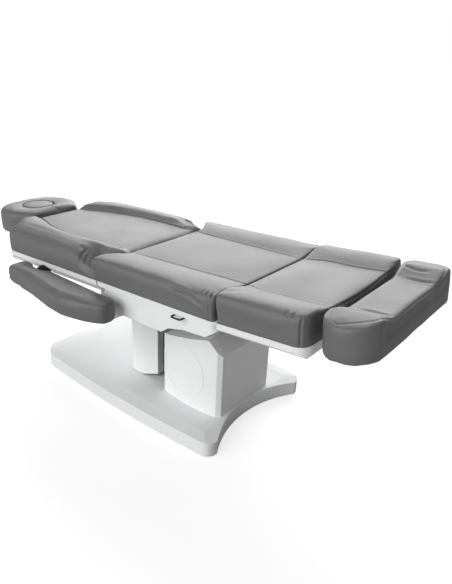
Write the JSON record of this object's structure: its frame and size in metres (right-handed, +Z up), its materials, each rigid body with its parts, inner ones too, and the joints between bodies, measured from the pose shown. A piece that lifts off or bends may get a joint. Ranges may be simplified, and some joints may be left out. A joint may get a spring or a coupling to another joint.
{
  "type": "facial treatment bed",
  "caption": "Powered facial treatment bed: grey padded back, seat, leg and foot sections, headrest with face hole, swing armrests, white base.",
  "frame": {"origin": "on the floor, midway between the head end and the foot end and on the centre line", "axes": "+X towards the foot end, +Y to the left of someone lying face up with the head at -X, +Z up"},
  "size_m": [1.9646, 0.902, 0.6923],
  "materials": {
    "upholstery": "grey leatherette with a fine grain, satin",
    "tray_white": "glossy white moulding",
    "base_white": "glossy white moulding",
    "panel_white": "satin white moulding",
    "frame_black": "black powder coat",
    "bracket_black": "black powder coat",
    "steel": "bright zinc",
    "hook_steel": "polished wire",
    "drive_grey": "dark grey moulding",
    "drive_rod": "satin",
    "plywood": "raw birch plywood",
    "armrest_board": "black painted plywood",
    "rubber_black": "matt rubber",
    "plastic_black": "matt black",
    "cap_grey": "matt grey",
    "contact_brass": "plated"
  },
  "bodies": {
    "base": {"base_cover": "base_white", "base_frame": "frame_black", "levelling_feet": "rubber_black", "control_box": "plastic_black", "mains_inlet": "plastic_black", "inlet_pins": "contact_brass", "pedestal_frame": "frame_black", "lift_pins": "steel", "pedestal_bolts": "steel", "pedestal_housing": "base_white", "pedestal_panel": "panel_white"},
    "lower_arm": {"lift_arm_lower": "frame_black"},
    "upper_arm": {"lift_arm_upper": "frame_black"},
    "carriage": {"carriage_frame": "frame_black", "carriage_pins": "steel", "column_cover": "base_white", "tilt_drive": "drive_grey"},
    "seat": {"seat_frame": "frame_black", "hinge_pins": "steel", "seat_shell": "tray_white", "seat_pad": "upholstery", "seat_board": "plywood", "pivot_caps": "cap_grey", "hand_control_hook": "hook_steel", "back_drive": "drive_grey", "leg_drive": "drive_grey"},
    "back": {"back_frame": "frame_black", "armrest_pins": "steel", "armrest_hubs": "plastic_black", "back_tray": "tray_white", "back_pad": "upholstery", "back_board": "plywood"},
    "head": {"head_slide": "steel", "head_pad": "upholstery"},
    "plug": {"face_plug": "upholstery"},
    "leg": {"leg_frame": "frame_black", "leg_tray": "tray_white", "leg_pad": "upholstery", "leg_board": "plywood"},
    "foot": {"foot_pad": "upholstery", "foot_slide": "steel"},
    "armrest_near": {"armrest_pad_near": "upholstery", "armrest_board_near": "armrest_board", "armrest_bracket_near": "bracket_black"},
    "armrest_far": {"armrest_pad_far": "upholstery", "armrest_board_far": "armrest_board", "armrest_bracket_far": "bracket_black"},
    "lift_drive": {"lift_drive": "drive_grey"},
    "lift_drive_rod": {"lift_drive_rod": "drive_rod"},
    "tilt_drive_rod": {"tilt_drive_rod": "drive_rod"},
    "back_drive_rod": {"back_drive_rod": "drive_rod"},
    "leg_drive_rod": {"leg_drive_rod": "drive_rod"}
  },
  "joints": [
    {"name": "lift", "type": "hinge", "parent": "base", "child": "lower_arm", "pos_m": [0.232, 0, 0.2], "axis": [0, 1, 0], "range_deg": [0, 62]},
    {"name": "lift_upper", "type": "hinge", "parent": "base", "child": "upper_arm", "pos_m": [0.232, 0, 0.258], "axis": [0, 1, 0], "range_deg": [0, 62]},
    {"name": "carriage_level", "type": "hinge", "parent": "lower_arm", "child": "carriage", "pos_m": [-0.00292, 0, 0.11449], "axis": [0, 1, 0], "range_deg": [-62, 0]},
    {"name": "seat_tilt", "type": "hinge", "parent": "carriage", "child": "seat", "pos_m": [-0.04, 0, 0.425], "axis": [0, -1, 0], "range_deg": [-3.2, 12]},
    {"name": "back_recline", "type": "hinge", "parent": "seat", "child": "back", "pos_m": [-0.0376, 0, 0.56244], "axis": [0, 1, 0], "range_deg": [0, 75]},
    {"name": "head_slide_joint", "type": "slide", "parent": "back", "child": "head", "axis": [-0.9984, 0, -0.0558], "range_m": [0, 0.1]},
    {"name": "plug_lift", "type": "slide", "parent": "head", "child": "plug", "axis": [-0.0558, 0, 0.9984], "range_m": [0, 0.12]},
    {"name": "leg_drop", "type": "hinge", "parent": "seat", "child": "leg", "pos_m": [0.52923, 0, 0.53424], "axis": [0, 1, 0], "range_deg": [0, 80]},
    {"name": "foot_slide_joint", "type": "slide", "parent": "leg", "child": "foot", "axis": [0.9952, 0, 0.0976], "range_m": [0, 0.15]},
    {"name": "armrest_near_swing", "type": "hinge", "parent": "back", "child": "armrest_near", "pos_m": [-0.345, -0.347, 0.462], "axis": [0, -1, 0], "range_deg": [0, 90]},
    {"name": "armrest_far_swing", "type": "hinge", "parent": "back", "child": "armrest_far", "pos_m": [-0.345, 0.347, 0.462], "axis": [0, -1, 0], "range_deg": [0, 90]},
    {"name": "lift_drive_swing", "type": "hinge", "parent": "base", "child": "lift_drive", "pos_m": [0.28, 0, 0.1], "axis": [0, 1, 0], "range_deg": [0, 31.2]},
    {"name": "lift_drive_push", "type": "slide", "parent": "lift_drive", "child": "lift_drive_rod", "axis": [-0.9573, 0, 0.289], "range_m": [0, 0.0696]},
    {"name": "tilt_drive_push", "type": "slide", "parent": "carriage", "child": "tilt_drive_rod", "axis": [0, 0, 1], "range_m": [-0.0043, 0.016]},
    {"name": "back_drive_push", "type": "slide", "parent": "seat", "child": "back_drive_rod", "axis": [-0.9984, 0, -0.0558], "range_m": [0, 0.1765]},
    {"name": "leg_drive_pull", "type": "slide", "parent": "seat", "child": "leg_drive_rod", "axis": [-0.9984, 0, -0.0558], "range_m": [0, 0.0924]}
  ],
  "couplings": [
    {"joint": "lift_upper", "follows": "lift", "ratio": 1},
    {"joint": "carriage_level", "follows": "lift", "ratio": -1},
    {"joint": "lift_drive_swing", "follows": "lift", "ratio": 0.5031},
    {"joint": "lift_drive_push", "follows": "lift", "m_per_rad": 0.06429},
    {"joint": "tilt_drive_push", "follows": "seat_tilt", "m_per_rad": 0.0759},
    {"joint": "back_drive_push", "follows": "back_recline", "m_per_rad": 0.1348},
    {"joint": "leg_drive_pull", "follows": "leg_drop", "m_per_rad": 0.0661}
  ]
}
